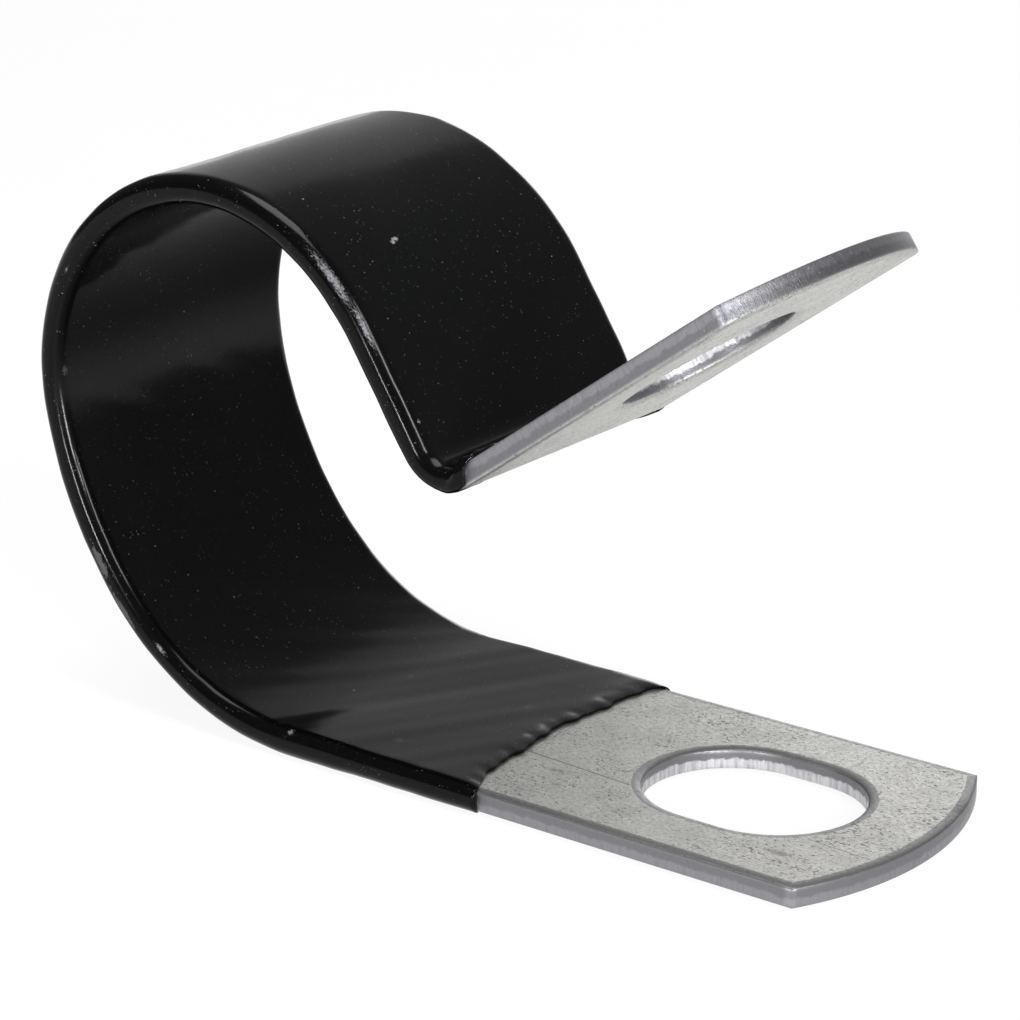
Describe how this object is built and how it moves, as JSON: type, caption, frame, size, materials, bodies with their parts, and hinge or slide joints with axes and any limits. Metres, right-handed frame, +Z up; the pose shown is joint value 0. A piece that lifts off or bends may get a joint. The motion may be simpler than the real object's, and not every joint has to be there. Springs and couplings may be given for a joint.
{
  "type": "p clip",
  "caption": "Open loop clip for a cable or hose: a flat steel strap bent round a loop and coated with black vinyl, with a slot in one bare tab and a hole in the other.",
  "frame": {"origin": "middle of the lower tab's slot, on the tab's underside", "axes": "+X towards the lower tab's tip, +Y across the strap, +Z up, from the lower tab towards the upper one"},
  "size_m": [0.0557, 0.0196, 0.0332],
  "materials": {
    "galvanised_steel": "zinc plated and dull, with pits and fine scratches",
    "black_vinyl": "dipped vinyl, smooth with a soft gloss, scuffed on its edges"
  },
  "bodies": {
    "root": {"steel_strap": "galvanised_steel", "vinyl_coat": "black_vinyl"}
  },
  "joints": []
}
